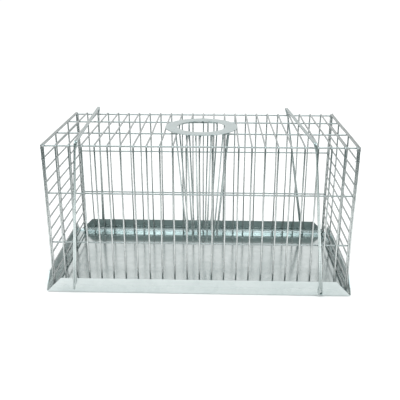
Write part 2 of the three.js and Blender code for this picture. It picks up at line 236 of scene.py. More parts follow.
STATION_SPACING = 14 * MM
BEND_STEP = math.radians(18)
END_BEVEL_SHARE = 0.12
WIRE_SIDES = 12


class BentWire:
    """A round wire in its own bmesh, fed and bent step by step as on a wire bender."""

    def __init__(self, diameter, sides, start, heading):
        self.bm = bmesh.new()
        self.tip = Vector(start)
        self.heading = Vector(heading).normalized()
        bmesh.ops.create_circle(
            self.bm, cap_ends=True, segments=sides, radius=diameter / 2,
            matrix=stood_at(self.tip, self.heading))
        self.rim = list(self.bm.edges)

    def extend(self):
        """Extrudes the open end in place and returns its new corners."""
        grown = bmesh.ops.extrude_edge_only(self.bm, edges=self.rim)["geom"]
        self.rim = [edge for edge in of_kind(grown, BMEdge) if edge.is_boundary]
        return of_kind(grown, BMVert)

    def feed(self, distance):
        """Grows the wire straight on, with a ring of corners at every station."""
        steps = max(1, round(distance / STATION_SPACING))
        for _ in range(steps):
            bmesh.ops.translate(self.bm, vec=self.heading * (distance / steps), verts=self.extend())
        self.tip += self.heading * distance

    def bend(self, axis, turn, radius, steps):
        """Grows the wire round a bend of the given radius."""
        centre = self.tip + axis.cross(self.heading) * radius
        step_turn = Matrix.Rotation(turn / steps, 3, axis)
        for _ in range(steps):
            bmesh.ops.rotate(self.bm, cent=centre, matrix=step_turn, verts=self.extend())
        whole_turn = Matrix.Rotation(turn, 3, axis)
        self.tip = centre + whole_turn @ (self.tip - centre)
        self.heading = whole_turn @ self.heading

    def close(self, bevel):
        """Caps the open end and softens both sheared ends."""
        bmesh.ops.contextual_create(self.bm, geom=self.rim)
        caps = [face for face in self.bm.faces if len(face.verts) > 4]
        soften(self.bm, [edge for face in caps for edge in face.edges], bevel, 1)


def bent_wire(points, radii, diameter, sides=WIRE_SIDES):
    """The bmesh of a wire through the points, with a bend of the given radius at each inner one."""
    points = [Vector(point) for point in points]
    headings = [(after - before).normalized() for before, after in zip(points, points[1:])]
    turns = [into.angle(out) for into, out in zip(headings, headings[1:])]
    setbacks = [0] + [radius * math.tan(turn / 2) for radius, turn in zip(radii, turns)] + [0]
    wire = BentWire(diameter, sides, points[0], headings[0])
    for index, heading in enumerate(headings):
        run = (points[index + 1] - points[index]).length - setbacks[index] - setbacks[index + 1]
        wire.feed(run)
        if index < len(turns):
            steps = max(2, math.ceil(turns[index] / BEND_STEP))
            axis = heading.cross(headings[index + 1]).normalized()
            wire.bend(axis, turns[index], radii[index], steps)
    wire.close(diameter * END_BEVEL_SHARE)
    return wire.bm


def straight_wire(start, end, diameter):
    """The bmesh of a straight wire."""
    return bent_wire([start, end], [], diameter)


def gather(whole, pieces):
    """Moves the bmesh pieces into the whole one."""
    carrier = bpy.data.meshes.new("carrier")
    for piece in pieces:
        piece.to_mesh(carrier)
        piece.free()
        whole.from_mesh(carrier)
    bpy.data.meshes.remove(carrier)


WELD_SEGMENTS = 8
WELD_RINGS = 5
WELD_WIDTH_SHARE = 0.5
WELD_THICKNESS_SHARE = 0.34


def weld_bead(place, across, diameter):
    """The squeezed metal of one spot weld: a flat bead between two wires. Across points from one to
    the other."""
    bead = bmesh.new()
    bmesh.ops.create_uvsphere(bead, u_segments=WELD_SEGMENTS, v_segments=WELD_RINGS, radius=diameter)
    bmesh.ops.scale(
        bead, vec=(WELD_WIDTH_SHARE, WELD_WIDTH_SHARE, WELD_THICKNESS_SHARE), verts=bead.verts)
    bmesh.ops.transform(bead, matrix=stood_at(place, Vector(across)), verts=bead.verts)
    return bead


SWAY_SEED = 9


def sway(bm, sizes):
    """Lets all wires of the cage stray a little from straight, together, so the welds still meet."""
    noise.seed_set(SWAY_SEED)
    for vert in bm.verts:
        drift = noise.noise_vector(vert.co / sizes.sway_span)
        vert.co.x += drift.x * sizes.sway
        vert.co.y += drift.y * sizes.sway


def finished(name, bm, material, body, nodes, sharp_angle=SHARP_ANGLE):
    """Makes the bmesh an object that rides on a body and stands for the named CAD nodes. The cage's
    pieces are made round the cage's own middle and put in the tray here."""
    if body == CAGE_BODY:
        sizes = bpy.context.scene.rat_trap_mesh
        bmesh.ops.translate(bm, vec=(sizes.shift_x, sizes.shift_y, 0), verts=bm.verts)
    bmesh.ops.recalc_face_normals(bm, faces=bm.faces)
    mesh = mesh_of(name, bm)
    mesh.shade_smooth()
    mesh.set_sharp_from_angle(angle=sharp_angle)
    mesh.materials.append(material)
    piece = placed(name, mesh)
    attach(piece, body)
    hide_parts(*nodes)
    return piece


def welded_mesh(name, wires, beads, nodes):
    """Joins wires and weld beads into one piece of mesh. An attribute tells its finish which are beads."""
    whole = bmesh.new()
    gather(whole, wires)
    wire_verts = len(whole.verts)
    gather(whole, beads)
    layer = whole.verts.layers.float.new("weld")
    for index, vert in enumerate(whole.verts):
        vert[layer] = 1 if index >= wire_verts else 0
    sway(whole, bpy.context.scene.rat_trap_mesh)
    finished(name, whole, mesh_finish(), CAGE_BODY, nodes)


# Finishes

SRGB_TOE = 0.04045
SRGB_TOE_SLOPE = 12.92
SRGB_LIFT = 0.055
SRGB_POWER = 2.4


def linear_colour(hex_code):
    """An sRGB hex code as the linear colour that a shader takes."""
    channels = [int(hex_code[place:place + 2], 16) / 255 for place in (1, 3, 5)]
    linear = [
        part / SRGB_TOE_SLOPE if part <= SRGB_TOE else ((part + SRGB_LIFT) / (1 + SRGB_LIFT)) ** SRGB_POWER
        for part in channels]
    return (*linear, 1)


def add_node(tree, kind, inputs=None, **settings):
    """Adds a shader node with its settings. Each input is a fixed value or another node's output."""
    node = tree.nodes.new(kind)
    for name, value in settings.items():
        setattr(node, name, value)
    for socket, value in (inputs or {}).items():
        if isinstance(value, bpy.types.NodeSocket):
            tree.links.new(value, node.inputs[socket])
        else:
            node.inputs[socket].default_value = value
    return node


# Numbers of the Mix node's sockets for colours. Its sockets for numbers have the same names.
MIX_SHARE, MIX_FIRST, MIX_SECOND = 0, 6, 7
MIXED = 2


def emptied(data):
    """The node tree of a material or a world, with nothing in it."""
    data.use_nodes = True
    data.node_tree.nodes.clear()
    return data.node_tree


def new_metal(name):
    """A metal with its node tree, its shader and the Object coordinates."""
    material = bpy.data.materials.new(name)
    tree = emptied(material)
    shader = add_node(tree, "ShaderNodeBsdfPrincipled", {"Metallic": 1})
    add_node(tree, "ShaderNodeOutputMaterial", {"Surface": shader.outputs["BSDF"]})
    return material, tree, shader, add_node(tree, "ShaderNodeTexCoord").outputs["Object"]


def cover(tree, shader, tint, roughness, normals):
    """Gives a shader its patterns of colour, roughness and relief."""
    for socket, pattern in (("Base Color", tint), ("Roughness", roughness), ("Normal", normals)):
        tree.links.new(pattern, shader.inputs[socket])


RUBBED_FROM = 9 * MM
RUBBED_TO = 12 * MM
ROUGHNESS_PATCH = 0.04
SPANGLE_SIZE = 9 * MM
SPANGLE_FROM = 0.35
SPANGLE_TO = 0.65
SPANGLE_HEIGHT = 0.1 * MM
SPANGLE_BUMP_SHARE = 0.03
DIRT_SIZE = 16 * MM
DIRT_DETAIL = 6
DIRT_ROUGHNESS = 0.7
DIRT_FROM = 0.64
DIRT_TO = 0.82
DIRT_SHARE = 0.3
# Rolling scuffs are finer on real sheet. They are drawn this coarse so that they show.
SCUFF_SPACING = 2.2 * MM
SCUFF_DETAIL = 4
SCUFF_STRETCH_SHARES = (0.06, 0.06, 1)
SCUFF_HEIGHT = 0.03 * MM
SCUFF_BUMP_SHARE = 0.12
SHEET_WAVE = 70 * MM
SHEET_WAVE_DETAIL = 1
SHEET_WAVE_HEIGHT = 0.12 * MM
CLOUD_DETAIL = 3


def galvanised_sheet(name, bright, dull, soil, roughness, wall_roughness, spangle_share):
    """Hot-dip galvanised sheet steel, rolled and folded. Frost-like zinc crystals some millimetres wide
    give the eye faint patches that turn light and dark, with fine rolling scuffs and a slight wave. A
    flat sheet mirrors softly, and walls that a folding tool has rubbed are duller."""
    material, tree, shader, place = new_metal(name)
    crystals = add_node(tree, "ShaderNodeTexVoronoi", {"Scale": 1 / SPANGLE_SIZE, "Vector": place})
    crystal_grey = add_node(
        tree, "ShaderNodeSeparateColor", {"Color": crystals.outputs["Color"]}).outputs["Red"]
    clouds = add_node(tree, "ShaderNodeTexNoise", {
        "Vector": place, "Scale": 1 / SHEET_WAVE, "Detail": CLOUD_DETAIL})
    patches = add_node(
        tree, "ShaderNodeMath", {0: crystal_grey, 1: spangle_share, 2: clouds.outputs["Fac"]},
        operation="MULTIPLY_ADD")
    dull_share = add_node(tree, "ShaderNodeMapRange", {
        "Value": patches.outputs["Value"], "From Min": SPANGLE_FROM,
        "From Max": SPANGLE_TO + spangle_share}).outputs["Result"]
    tint = add_node(
        tree, "ShaderNodeMix", {MIX_SHARE: dull_share, MIX_FIRST: bright, MIX_SECOND: dull},
        data_type="RGBA")
    dirt = add_node(tree, "ShaderNodeTexNoise", {
        "Vector": place, "Scale": 1 / DIRT_SIZE, "Detail": DIRT_DETAIL, "Roughness": DIRT_ROUGHNESS})
    dirt_share = add_node(tree, "ShaderNodeMapRange", {
        "Value": dirt.outputs["Fac"], "From Min": DIRT_FROM, "From Max": DIRT_TO, "To Max": DIRT_SHARE})
    soiled = add_node(tree, "ShaderNodeMix", {
        MIX_SHARE: dirt_share.outputs["Result"], MIX_FIRST: tint.outputs[MIXED], MIX_SECOND: soil},
        data_type="RGBA")
    height = add_node(tree, "ShaderNodeSeparateXYZ", {"Vector": place}).outputs["Z"]
    rubbed = add_node(tree, "ShaderNodeMapRange", {
        "Value": height, "From Min": RUBBED_FROM, "From Max": RUBBED_TO, "To Min": roughness,
        "To Max": wall_roughness})
    rough = add_node(
        tree, "ShaderNodeMath", {0: dull_share, 1: ROUGHNESS_PATCH, 2: rubbed.outputs["Result"]},
        operation="MULTIPLY_ADD")
    scuff_place = add_node(tree, "ShaderNodeMapping", {"Vector": place, "Scale": SCUFF_STRETCH_SHARES})
    scuffs = add_node(tree, "ShaderNodeTexNoise", {
        "Vector": scuff_place.outputs["Vector"], "Scale": 1 / SCUFF_SPACING, "Detail": SCUFF_DETAIL})
    waves = add_node(tree, "ShaderNodeTexNoise", {
        "Vector": place, "Scale": 1 / SHEET_WAVE, "Detail": SHEET_WAVE_DETAIL})
    waved = add_node(tree, "ShaderNodeBump", {
        "Height": waves.outputs["Fac"], "Strength": 1, "Distance": SHEET_WAVE_HEIGHT})
    spangled = add_node(tree, "ShaderNodeBump", {
        "Height": crystal_grey, "Strength": SPANGLE_BUMP_SHARE, "Distance": SPANGLE_HEIGHT,
        "Normal": waved.outputs["Normal"]})
    scuffed = add_node(tree, "ShaderNodeBump", {
        "Height": scuffs.outputs["Fac"], "Strength": SCUFF_BUMP_SHARE, "Distance": SCUFF_HEIGHT,
        "Normal": spangled.outputs["Normal"]})
    cover(tree, shader, soiled.outputs[MIXED], rough.outputs["Value"], scuffed.outputs["Normal"])
    return material


WIRE_MOTTLE = 11 * MM
MOTTLE_DETAIL = 4
MOTTLE_ROUGHNESS = 0.6
MOTTLE_FROM = 0.45
MOTTLE_TO = 0.75
MOTTLE_SHARE = 0.6
SMOOTHEST_SHARE = 0.8
ROUGHEST_SHARE = 1.4
# Drawing grain is finer on real wire. It is drawn this coarse so that it shows.
WIRE_GRAIN = 0.9 * MM
GRAIN_DETAIL = 3
GRAIN_HEIGHT = 0.03 * MM
GRAIN_BUMP_SHARE = 0.2


def plated_wire(name, bright, dull, weld, roughness):
    """Drawn low-carbon wire, welded and zinc plated. The plating gives the eye a soft grey gloss with
    duller stretches, fine drawing grain, and dull beads at the welds."""
    material, tree, shader, place = new_metal(name)
    mottle = add_node(tree, "ShaderNodeTexNoise", {
        "Vector": place, "Scale": 1 / WIRE_MOTTLE, "Detail": MOTTLE_DETAIL,
        "Roughness": MOTTLE_ROUGHNESS}).outputs["Fac"]
    dull_share = add_node(tree, "ShaderNodeMapRange", {
        "Value": mottle, "From Min": MOTTLE_FROM, "From Max": MOTTLE_TO, "To Max": MOTTLE_SHARE})
    tint = add_node(tree, "ShaderNodeMix", {
        MIX_SHARE: dull_share.outputs["Result"], MIX_FIRST: bright, MIX_SECOND: dull}, data_type="RGBA")
    bead = add_node(tree, "ShaderNodeAttribute", attribute_name="weld")
    welded = add_node(tree, "ShaderNodeMix", {
        MIX_SHARE: bead.outputs["Fac"], MIX_FIRST: tint.outputs[MIXED], MIX_SECOND: weld},
        data_type="RGBA")
    rough = add_node(tree, "ShaderNodeMapRange", {
        "Value": mottle, "To Min": roughness * SMOOTHEST_SHARE, "To Max": roughness * ROUGHEST_SHARE})
    grain = add_node(tree, "ShaderNodeTexNoise", {
        "Vector": place, "Scale": 1 / WIRE_GRAIN, "Detail": GRAIN_DETAIL})
    relief = add_node(tree, "ShaderNodeBump", {
        "Height": grain.outputs["Fac"], "Strength": GRAIN_BUMP_SHARE, "Distance": GRAIN_HEIGHT})
    cover(tree, shader, welded.outputs[MIXED], rough.outputs["Result"], relief.outputs["Normal"])
    return material


MESH_ROUGHNESS = 0.25
BRIGHT_WIRE_ROUGHNESS = 0.24
CLIP_ROUGHNESS = 0.5
FLOOR_ROUGHNESS = 0.14
WALL_ROUGHNESS = 0.3
RING_ROUGHNESS = 0.38
SHEET_SPANGLE_SHARE = 0.2
RING_SPANGLE_SHARE = 0.15


def finish(name, make, colour_names, *shares):
    """The named material, made in the named colours the first time that it is asked for."""
    codes = bpy.context.scene.rat_trap_finish
    colours = [linear_colour(getattr(codes, colour_name)) for colour_name in colour_names]
    return bpy.data.materials.get(name) or make(name, *colours, *shares)


def mesh_finish():
    """Zinc plated welded mesh."""
    return finish("zinc_plated_welded_mesh", plated_wire, ("mesh", "mesh_dull", "weld"), MESH_ROUGHNESS)


def bright_wire_finish():
    """Bright drawn and zinc plated spring wire."""
    return finish(
        "bright_zinc_spring_wire", plated_wire, ("bright_wire", "mesh", "weld"), BRIGHT_WIRE_ROUGHNESS)


def clip_finish():
    """Dull annealed binding wire."""
    return finish("dull_annealed_binding_wire", plated_wire, ("clip", "soil", "weld"), CLIP_ROUGHNESS)


def tray_finish():
    """Bright hot-dip galvanised sheet."""
    return finish(
        "bright_galvanised_sheet", galvanised_sheet, ("sheet", "sheet_dull", "soil"),
        FLOOR_ROUGHNESS, WALL_ROUGHNESS, SHEET_SPANGLE_SHARE)


def ring_finish():
    """Satin galvanised ring plate."""
    return finish(
        "satin_galvanised_ring_plate", galvanised_sheet, ("ring", "sheet_dull", "soil"),
        RING_ROUGHNESS, RING_ROUGHNESS, RING_SPANGLE_SHARE)


# Places that several pieces share

def cage_half_length(sizes):
    """From the middle of the cage to the end hoops."""
    return (sizes.hoop_gaps / 2 - 1) * sizes.hoop_pitch + sizes.end_hoop_pitch


def hoop_places(sizes):
    """Places of the hoops along the cage."""
    half = sizes.hoop_gaps // 2
    inner = [index * sizes.hoop_pitch for index in range(1 - half, half)]
    end = cage_half_length(sizes)
    return [-end] + inner + [end]


def post_distance(sizes):
    """From an end hoop out to the posts of the end panel, which stand against it."""
    return sizes.wire + sizes.post_gap


def foot_height(sizes, y):
    """Height at which the wire at the given Y ends. The back ones stand on the tray's round fold."""
    on_fold = y >= sizes.depth / 2
    return sizes.foot_z + (sizes.back_foot_rise if on_fold else 0)


def rung_heights(sizes):
    """Heights of the end panels' rungs, from the roof down."""
    count = math.floor((sizes.roof_z - sizes.foot_z - sizes.wire) / sizes.hoop_pitch) + 1
    return [sizes.roof_z - index * sizes.hoop_pitch for index in range(count)]


def weld_offset(sizes):
    """Distance between the middles of two welded wires."""
    return sizes.wire - sizes.weld_sink


# Pieces

class RATTRAP_OT_bent_mesh(Operator):
    """Build the bent mesh sheet that is the cage's front, roof and back"""
    bl_idname = "rat_trap.bent_mesh"
    bl_label = "Bent mesh sheet"

    def hoop_wires(self, sizes):
        """The hoops. The round hole under the ring cuts the middle ones in two."""
        half = sizes.depth / 2
        for x in hoop_places(sizes):
            ends = [
                [(x, y, foot_height(sizes, y)), (x, y, sizes.roof_z)] for y in (-half, half)]
            if abs(x) >= sizes.roof_hole:
                points = ends[0] + ends[1][::-1]
                yield bent_wire(points, [sizes.bend_radius] * 2, sizes.wire)
                continue
            reach = math.sqrt(sizes.roof_hole ** 2 - x ** 2)
            for side, end in zip((-1, 1), ends):
                points = end + [(x, side * reach, sizes.roof_z)]
                yield bent_wire(points, [sizes.bend_radius], sizes.wire)

    def long_rows(self, sizes):
        """Each long wire as its Y, its height and the way that it lies from the hoops."""
        half = sizes.depth / 2
        offset = weld_offset(sizes)
        rises = {-1: (0, sizes.front_low_rise, sizes.front_high_rise),
                 1: (0, sizes.back_low_rise, sizes.back_high_rise)}
        for side, heights in rises.items():
            for rise in heights:
                yield side * (half - offset), sizes.bottom_wire_z + rise, Vector((0, -side, 0))
        edge = half - sizes.bend_radius
        for y in (-edge, -sizes.front_roof_wire, sizes.back_roof_wire, edge):
            yield y, sizes.roof_z - offset, Vector((0, 0, -1))

    def execute(self, context):
        sizes = context.scene.rat_trap_mesh
        end = cage_half_length(sizes) + sizes.wire / 2
        wires = list(self.hoop_wires(sizes))
        beads = []
        for y, z, inwards in self.long_rows(sizes):
            cut = inwards.y == 0 and abs(y) < sizes.roof_hole
            hole = math.sqrt(sizes.roof_hole ** 2 - y ** 2) if cut else 0
            for start, stop in [(-end, -hole), (hole, end)] if cut else [(-end, end)]:
                wires.append(straight_wire((start, y, z), (stop, y, z), sizes.wire))
            contact = Vector((0, y, z)) - inwards * weld_offset(sizes) / 2
            beads += [
                weld_bead(contact + Vector((x, 0, 0)), inwards, sizes.wire)
                for x in hoop_places(sizes) if abs(x) >= hole]
        welded_mesh("bent_mesh_sheet", wires, beads, BENT_SHEET_NODES)
        return {"FINISHED"}


class RATTRAP_OT_end_panels(Operator):
    """Build the two mesh panels that close the cage's ends"""
    bl_idname = "rat_trap.end_panels"
    bl_label = "End panels"

    def execute(self, context):
        sizes = context.scene.rat_trap_mesh
        half = sizes.depth / 2
        post_x = cage_half_length(sizes) + post_distance(sizes)
        rung_x = post_x - weld_offset(sizes)
        posts = (-half, -sizes.front_roof_wire, sizes.back_roof_wire, half)
        top_reach = half + sizes.wire / 2
        reach = half - sizes.wire / 2 - sizes.post_gap
        top, *rungs = rung_heights(sizes)
        crossing = [(post_x, top_reach, top)] + [(rung_x, reach, z) for z in rungs]
        for name, side in (("left", -1), ("right", 1)):
            wires = [
                straight_wire(
                    (side * post_x, y, foot_height(sizes, y)),
                    (side * post_x, y, top - sizes.wire / 2), sizes.wire)
                for y in posts]
            wires += [
                straight_wire((side * x, -half_span, z), (side * x, half_span, z), sizes.wire)
                for x, half_span, z in crossing]
            beads = [
                weld_bead(Vector((side * (post_x + rung_x) / 2, y, z)), (side, 0, 0), sizes.wire)
                for y in posts for z in rungs]
            welded_mesh(f"{name}_panel_mesh", wires, beads, [f"{name}_end_panel"])
        return {"FINISHED"}


class RATTRAP_OT_entrance_ring(Operator):
    """Build the flat stamped ring of the entrance"""
    bl_idname = "rat_trap.entrance_ring"
    bl_label = "Entrance ring"

    segments = 96
    bevel_segments = 3
    rim_angle = math.radians(60)

    def execute(self, context):
        sizes = context.scene.rat_trap_entrance
        inner = sizes.inner_diameter / 2
        outer = inner + sizes.band
        bm = bmesh.new()
        bmesh.ops.create_circle(
            bm, segments=self.segments, radius=outer, matrix=Matrix.Translation((0, 0, sizes.bottom_z)))
        grown = bmesh.ops.extrude_edge_only(bm, edges=list(bm.edges))["geom"]
        bmesh.ops.scale(bm, vec=(inner / outer, inner / outer, 1), verts=of_kind(grown, BMVert))
        plate = bmesh.ops.extrude_face_region(bm, geom=list(bm.faces))["geom"]
        bmesh.ops.translate(bm, vec=(0, 0, sizes.sheet), verts=of_kind(plate, BMVert))
        rims = [edge for edge in bm.edges if edge.calc_face_angle(0) > self.rim_angle]
        soften(bm, rims, sizes.edge_bevel, self.bevel_segments)
        finished("ring_plate", bm, ring_finish(), CAGE_BODY, ["entrance_ring"])
        return {"FINISHED"}


# Middle direction of each funnel wire, and the angle from there to each of its legs, in degrees
FUNNEL_ANGLES = {
    "funnel_wire_front": (-95.9, 3.4),
    "funnel_wire_front_right": (-54.6, 14.4),
    "funnel_wire_right": (2, 15),
    "funnel_wire_back_right": (66.7, 10.8),
    "funnel_wire_back_left": (132.7, 13.5),
    "funnel_wire_front_left": (-135.5, 16),
}


class RATTRAP_OT_funnel(Operator):
    """Build the six bent wires of the funnel"""
    bl_idname = "rat_trap.funnel"
    bl_label = "Funnel wires"

    def leg(self, sizes, degrees):
        """The corners of one leg, from its free end up to the crown."""
        out = Vector((math.cos(math.radians(degrees)), math.sin(math.radians(degrees)), 0))
        mouth = out * sizes.mouth_radius
        return [
            out * sizes.exit_diameter / 2 + Vector((0, 0, sizes.exit_z)),
            mouth + Vector((0, 0, sizes.arch_z - sizes.shoulder)),
            mouth + Vector((0, 0, sizes.arch_z)),
        ]

    def execute(self, context):
        sizes = context.scene.rat_trap_entrance
        for node, (middle, spread) in FUNNEL_ANGLES.items():
            first, second = self.leg(sizes, middle - spread), self.leg(sizes, middle + spread)
            crown = (first[2] - second[2]).length
            crown_radius = min(sizes.bend_radius, crown / 2 - sizes.crown_flat)
            radii = [sizes.bend_radius, crown_radius, crown_radius, sizes.bend_radius]
            bm = bent_wire(first + second[::-1], radii, sizes.wire)
            finished(
                node.replace("funnel_wire", "bent_funnel_wire"), bm, bright_wire_finish(), CAGE_BODY,
                [node])
        return {"FINISHED"}


class RATTRAP_OT_clips(Operator):
    """Build the wire clips that bind the end panels to the end hoops"""
    bl_idname = "rat_trap.clips"
    bl_label = "Corner clips"

    steps = 22
    sides = 10

    def clip(self, clip_sizes, half_span, radius, middle, side_y):
        """One clip: a ring of wire with a gap, pulled apart so that it goes round two wires."""
        bm = bmesh.new()
        start = clip_sizes.opening / 2
        turned = Matrix.Rotation(start, 4, "Z") @ Matrix.Translation((0, -side_y * radius, 0))
        bmesh.ops.create_circle(
            bm, segments=self.sides, radius=clip_sizes.wire / 2,
            matrix=turned @ Matrix.Rotation(math.pi / 2, 4, "Y"))
        bmesh.ops.spin(
            bm, geom=list(bm.edges), cent=(0, 0, 0), axis=(0, 0, 1), steps=self.steps,
            angle=2 * math.pi - clip_sizes.opening)
        bmesh.ops.holes_fill(bm, edges=[edge for edge in bm.edges if edge.is_boundary])
        for vert in bm.verts:
            pull = max(-1, min(1, vert.co.x / clip_sizes.wire))
            vert.co.x += half_span * pull
        bmesh.ops.translate(bm, vec=middle, verts=bm.verts)
        return bm

    def execute(self, context):
        sizes = context.scene.rat_trap_mesh
        clips = context.scene.rat_trap_clips
        end = cage_half_length(sizes)
        half_span = post_distance(sizes) / 2
        below = sizes.wire / 2 + clips.room + clips.wire / 2
        heights = {
            "upper": sizes.roof_z - sizes.bend_radius,
            "lower": rung_heights(sizes)[clips.rung] - below,
        }
        for end_name, side_x in (("left", -1), ("right", 1)):
            for face_name, side_y in (("front", -1), ("back", 1)):
                for level_name, z in heights.items():
                    middle = Vector((side_x * (end + half_span), side_y * sizes.depth / 2, z))
                    bm = self.clip(clips, half_span, below, middle, side_y)
                    node = f"{end_name}_{face_name}_{level_name}_clip"
                    finished(
                        node.replace("clip", "wire_clip"), bm, clip_finish(), CAGE_BODY,
                        [node])
        return {"FINISHED"}


class RATTRAP_OT_tray(Operator):
    """Build the folded tray with its four holes for the bails"""
    bl_idname = "rat_trap.tray"
    bl_label = "Tray"

    fold_steps = 5
    length_cuts = 56
    depth_cuts = 28
    wall_cuts = 4
    hole_sides = 20
    back_fold_cuts = 7
    near = 1e-5
    sharp_angle = math.radians(30)

    def fold_wall(self, bm, sizes, axis, side, half):
        """Folds up one wall from the edge of the floor. Its ends are cut back at 45 degrees."""
        along = 1 - axis
        place = side * (half - sizes.fold_radius)
        edges = [
            edge for edge in bm.edges
            if edge.is_boundary and all(abs(vert.co[axis] - place) < self.near for vert in edge.verts)]
        centre = Vector((0, 0, sizes.fold_radius + sizes.sheet))
        centre[axis] = place
        inwards = -side if axis == 0 else side
        step_turn = Matrix.Rotation(inwards * math.pi / 2 / self.fold_steps, 3, "YX"[axis])
        corner = max(abs(vert.co[along]) for edge in edges for vert in edge.verts)
        rise = (sizes.wall_height - sizes.fold_radius - sizes.sheet) / self.wall_cuts
        for step in range(self.fold_steps + self.wall_cuts):
            grown = bmesh.ops.extrude_edge_only(bm, edges=edges)["geom"]
            verts = of_kind(grown, BMVert)
            edges = [
                edge for edge in of_kind(grown, BMEdge)
                if all(vert in verts for vert in edge.verts) and self.level(edge)]
            if step < self.fold_steps:
                bmesh.ops.rotate(bm, cent=centre, matrix=step_turn, verts=verts)
                continue
            bmesh.ops.translate(bm, vec=(0, 0, rise), verts=verts)
            height = (step - self.fold_steps + 1) * rise
            cut_back = [1, 1, 1]
            cut_back[along] = (corner - height) / max(abs(vert.co[along]) for vert in verts)
            bmesh.ops.scale(bm, vec=cut_back, verts=verts)

    def level(self, edge):
        """Whether an edge joins two corners at one height."""
        return abs(edge.verts[0].co.z - edge.verts[1].co.z) < self.near

    def soften_back_fold(self, bm, sizes):
        """Presses the fold under the back wall into a wide curve."""
        radius = sizes.back_fold_radius
        for step in range(1, self.back_fold_cuts):
            reach = radius * step / self.back_fold_cuts
            for place, normal in (
                    ((0, sizes.half_depth - reach, 0), (0, 1, 0)), ((0, 0, sizes.sheet + reach), (0, 0, 1))):
                near_fold = [face for face in bm.faces if face.calc_center_median().y > 0]
                rims = dict.fromkeys(part for face in near_fold for part in (*face.edges, *face.verts))
                parts = near_fold + list(rims)
                bmesh.ops.bisect_plane(bm, geom=parts, plane_co=place, plane_no=normal)
        for vert in bm.verts:
            inset = sizes.half_depth - vert.co.y
            rise = vert.co.z - sizes.sheet
            along = rise - inset
            if abs(along) >= radius or inset > radius or rise > radius:
                continue
            turn = math.pi / 4 * (1 + along / radius)
            start_inset, start_rise = max(-along, 0), max(along, 0)
            hold = 1 - min(inset, rise) / radius
            vert.co.y -= (radius * (1 - math.sin(turn)) - start_inset) * hold
            vert.co.z += (radius * (1 - math.cos(turn)) - start_rise) * hold

    def lean(self, bm, sizes):
        """Lets the walls lean in by a hair, in waves, as hand-folded sheet does."""
        for vert in bm.verts:
            if vert.co.z < sizes.fold_radius:
                continue
            rise_share = vert.co.z / sizes.wall_height
            wave = (noise.noise(vert.co / sizes.edge_sway_span) + 1) / 2
            shift = sizes.edge_sway * rise_share * wave
            for axis, half in ((0, sizes.half_length), (1, sizes.half_depth)):
                if abs(vert.co[axis]) > half - sizes.fold_radius / 2:
                    vert.co[axis] -= math.copysign(shift, vert.co[axis])

    def drill(self, piece, sizes, bails):
        """Cuts the holes that the bails turn in."""
        drills = bmesh.new()
        radius = bails.wire / 2 + sizes.hole_room
        for x in (bails.left_foot_x, bails.right_foot_x):
            bmesh.ops.create_cone(
                drills, cap_ends=True, segments=self.hole_sides, radius1=radius, radius2=radius,
                depth=2 * (sizes.half_depth + sizes.wall_height),
                matrix=Matrix.Translation((x, 0, bails.foot_z)) @ Matrix.Rotation(math.pi / 2, 4, "X"))
        tool = placed("drills", mesh_of("drills", drills))
        cut = piece.modifiers.new("bail_holes", "BOOLEAN")
        cut.object = tool
        cut.solver = "EXACT"
        cut.operation = "DIFFERENCE"
        view = bpy.context.evaluated_depsgraph_get()
        drilled = bpy.data.meshes.new_from_object(piece.evaluated_get(view))
        piece.modifiers.clear()
        piece.data = drilled
        bpy.data.objects.remove(tool)

    def execute(self, context):
        sizes = context.scene.rat_trap_tray
        bm = bmesh.new()
        bmesh.ops.create_grid(bm, x_segments=self.length_cuts, y_segments=self.depth_cuts, size=1)
        floor = (sizes.half_length - sizes.fold_radius, sizes.half_depth - sizes.fold_radius, 1)
        bmesh.ops.scale(bm, vec=floor, verts=bm.verts)
        bmesh.ops.translate(bm, vec=(0, 0, sizes.sheet), verts=bm.verts)
        for axis, half in ((1, sizes.half_depth), (0, sizes.half_length)):
            for side in (-1, 1):
                self.fold_wall(bm, sizes, axis, side, half)
        bmesh.ops.recalc_face_normals(bm, faces=bm.faces)
        if max(bm.faces, key=lambda face: face.calc_area()).normal.z < 0:
            bmesh.ops.reverse_faces(bm, faces=bm.faces)
        self.soften_back_fold(bm, sizes)
        self.lean(bm, sizes)
        bmesh.ops.solidify(bm, geom=list(bm.faces), thickness=sizes.sheet)
        for vert in bm.verts:
            vert.co.z = max(vert.co.z, 0)
        piece = finished(
            "folded_tray", bm, tray_finish(), TRAY_BODY, ["tray"], self.sharp_angle)
        self.drill(piece, sizes, context.scene.rat_trap_bails)
        return {"FINISHED"}


